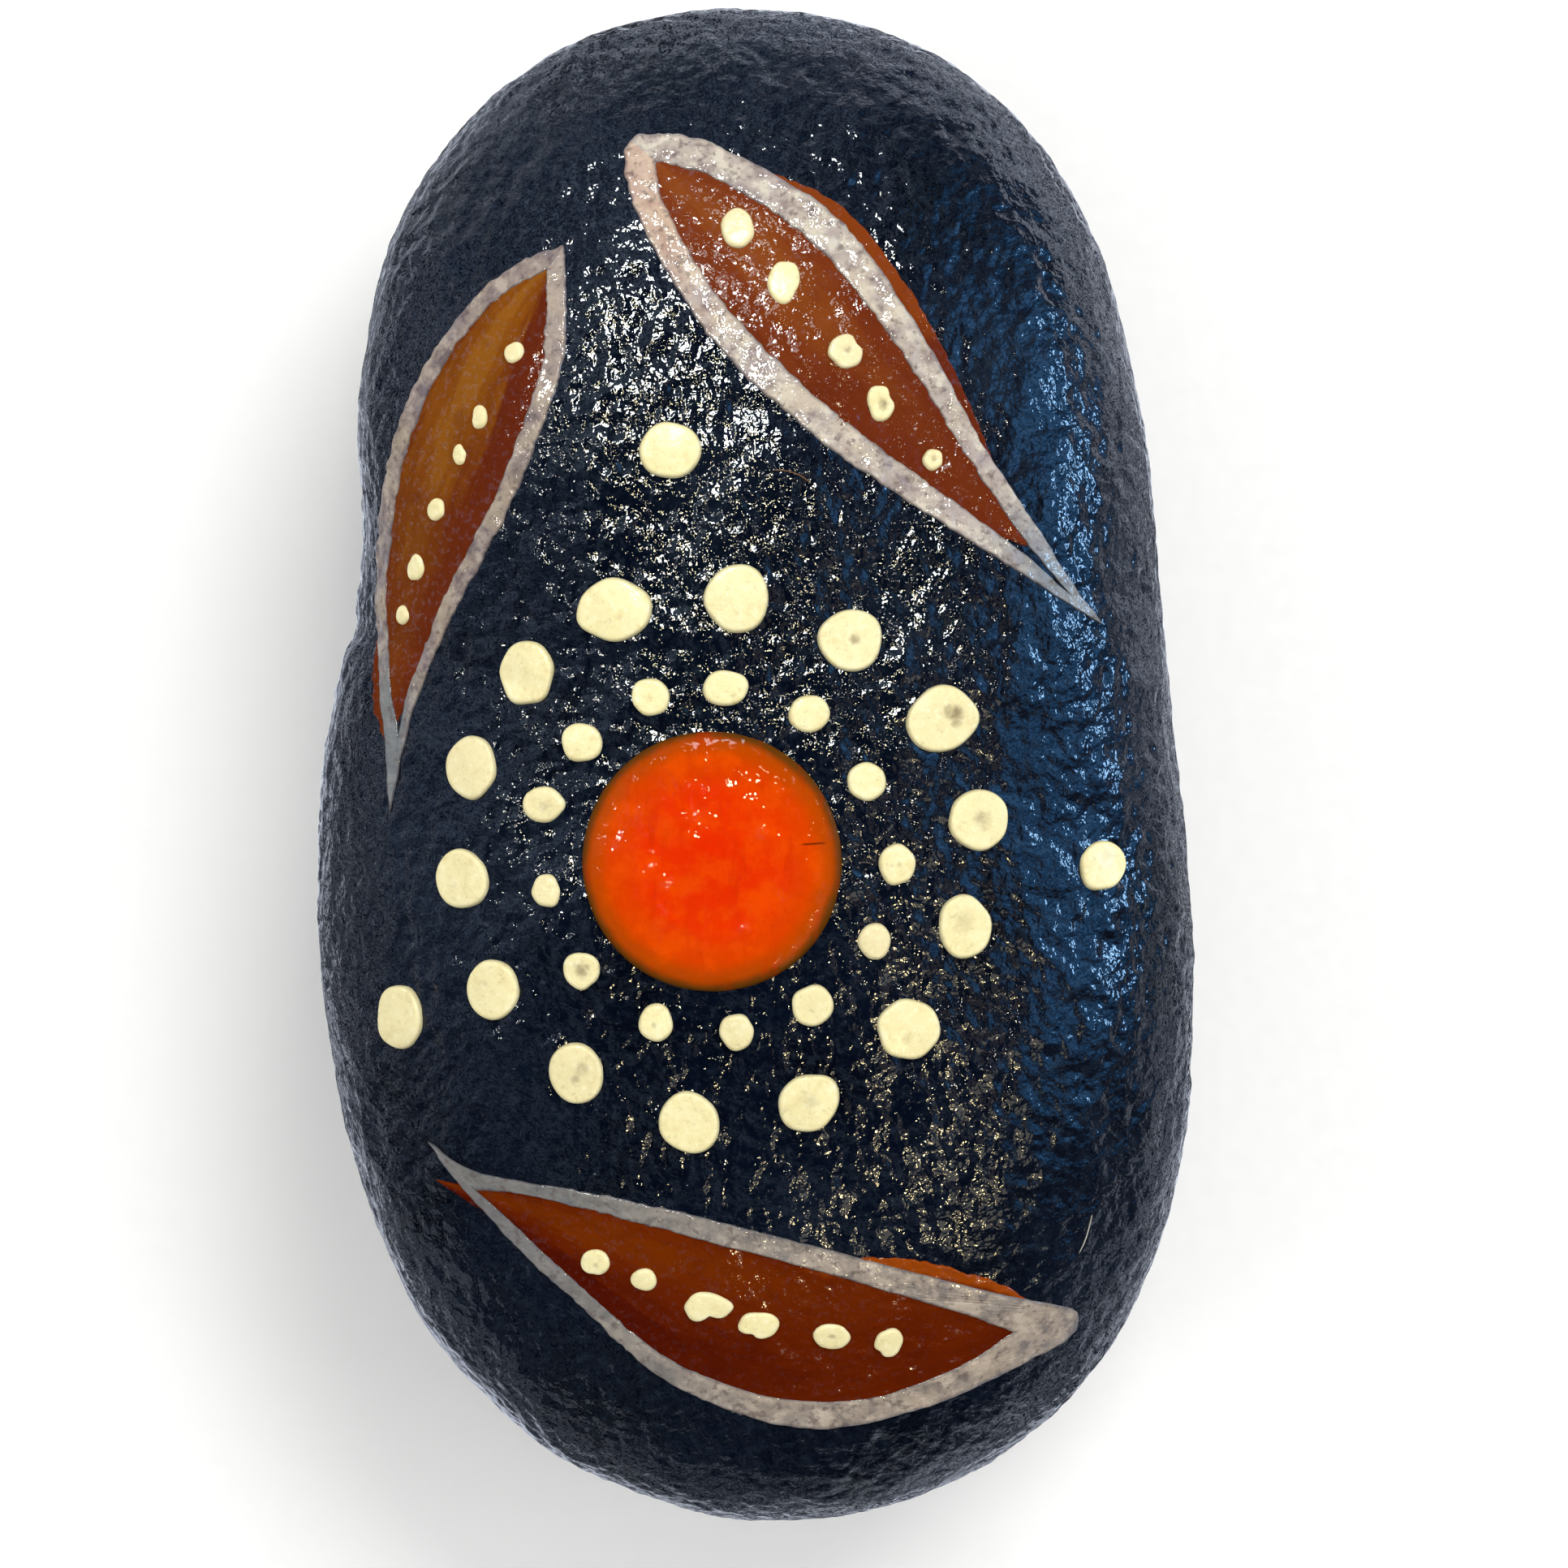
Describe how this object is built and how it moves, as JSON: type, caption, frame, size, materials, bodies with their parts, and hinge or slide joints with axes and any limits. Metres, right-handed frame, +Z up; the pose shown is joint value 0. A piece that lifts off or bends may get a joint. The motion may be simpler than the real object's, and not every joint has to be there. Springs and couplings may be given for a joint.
{
  "type": "painted pebble",
  "caption": "Palm-sized long river pebble with a dark glossy coat, a raised orange disc in rings of cream dots, and outlined leaf shapes on its flat top; an ornament or paperweight.",
  "frame": {"origin": "on the rest face, under the middle of the stone's bounding box", "axes": "+Z up out of the painted top; +Y along the stone, towards the end with the slanting leaf; +X to its right seen from above"},
  "size_m": [0.058, 0.1, 0.0346],
  "materials": {
    "bare_stone": "dry, matt, fine-grained grey-brown river stone",
    "base_coat": "blue-black acrylic under gloss varnish, over pitted stone",
    "sun_orange": "thick glossy orange acrylic, redder in the middle, olive-dark at the rim",
    "dot_cream": "raised cream acrylic drops, satin to gloss, with small brown pinholes",
    "leaf_brown": "thin red-brown to ochre acrylic wash under gloss varnish",
    "outline_grey": "mottled grey-lilac white acrylic brush line over rough stone"
  },
  "bodies": {
    "root": {"stone_core": "bare_stone", "base_coat": "base_coat", "sun_disc": "sun_orange", "outer_dot_01": "dot_cream", "outer_dot_02": "dot_cream", "outer_dot_03": "dot_cream", "outer_dot_04": "dot_cream", "outer_dot_05": "dot_cream", "outer_dot_06": "dot_cream", "outer_dot_07": "dot_cream", "outer_dot_08": "dot_cream", "outer_dot_09": "dot_cream", "outer_dot_10": "dot_cream", "outer_dot_11": "dot_cream", "outer_dot_12": "dot_cream", "outer_dot_13": "dot_cream", "outer_dot_14": "dot_cream", "inner_dot_01": "dot_cream", "inner_dot_02": "dot_cream", "inner_dot_03": "dot_cream", "inner_dot_04": "dot_cream", "inner_dot_05": "dot_cream", "inner_dot_06": "dot_cream", "inner_dot_07": "dot_cream", "inner_dot_08": "dot_cream", "inner_dot_09": "dot_cream", "inner_dot_10": "dot_cream", "inner_dot_11": "dot_cream", "inner_dot_12": "dot_cream", "inner_dot_13": "dot_cream", "lone_dot_top": "dot_cream", "lone_dot_left": "dot_cream", "lone_dot_right": "dot_cream", "leaf_upper_fill": "leaf_brown", "leaf_upper_outline": "outline_grey", "leaf_upper_dot_1": "dot_cream", "leaf_upper_dot_2": "dot_cream", "leaf_upper_dot_3": "dot_cream", "leaf_upper_dot_4": "dot_cream", "leaf_upper_dot_5": "dot_cream", "leaf_left_fill": "leaf_brown", "leaf_left_outline": "outline_grey", "leaf_left_dot_1": "dot_cream", "leaf_left_dot_2": "dot_cream", "leaf_left_dot_3": "dot_cream", "leaf_left_dot_4": "dot_cream", "leaf_left_dot_5": "dot_cream", "leaf_left_dot_6": "dot_cream", "leaf_lower_fill": "leaf_brown", "leaf_lower_outline": "outline_grey", "leaf_lower_dot_1": "dot_cream", "leaf_lower_dot_2": "dot_cream", "leaf_lower_dot_3": "dot_cream", "leaf_lower_dot_4": "dot_cream", "leaf_lower_dot_5": "dot_cream", "leaf_lower_dot_6": "dot_cream"}
  },
  "joints": []
}
